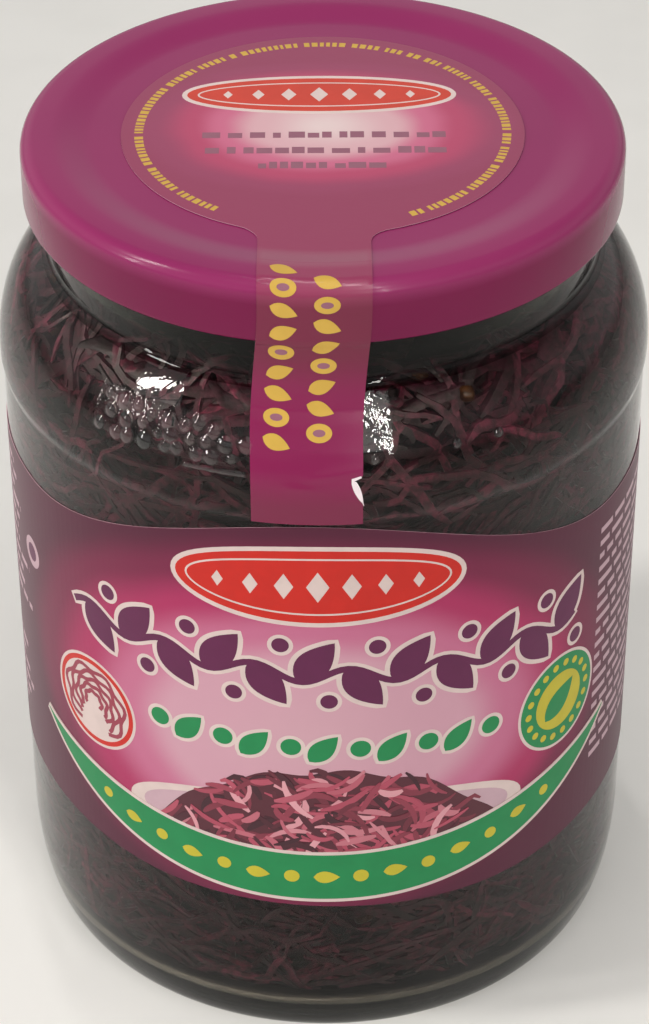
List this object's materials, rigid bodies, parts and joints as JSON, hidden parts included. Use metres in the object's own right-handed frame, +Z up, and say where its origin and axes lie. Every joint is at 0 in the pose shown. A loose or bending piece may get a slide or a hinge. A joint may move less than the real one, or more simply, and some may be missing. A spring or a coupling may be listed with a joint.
{
  "type": "jar of red cabbage",
  "caption": "Twist-off glass jar packed with shredded red cabbage, with a wrapped paper label and a paper seal strip over the lid.",
  "frame": {"origin": "centre of the ring that the jar stands on", "axes": "+Z up along the jar's axis, -Y towards the front of the label, +X to the label's right as seen from the front"},
  "size_m": [0.0952, 0.0955, 0.1334],
  "materials": {
    "glass": "clear, smooth, very slightly green",
    "cabbage": "wet food, dark plum shreds",
    "lid_lacquer": "glossy plum lacquer",
    "label_paper": "coated print, satin",
    "seal_paper": "coated print, satin"
  },
  "bodies": {
    "root": {"jar_glass": "glass", "red_cabbage": "cabbage", "lid": "lid_lacquer", "label": "label_paper", "seal_strip": "seal_paper"}
  },
  "joints": []
}
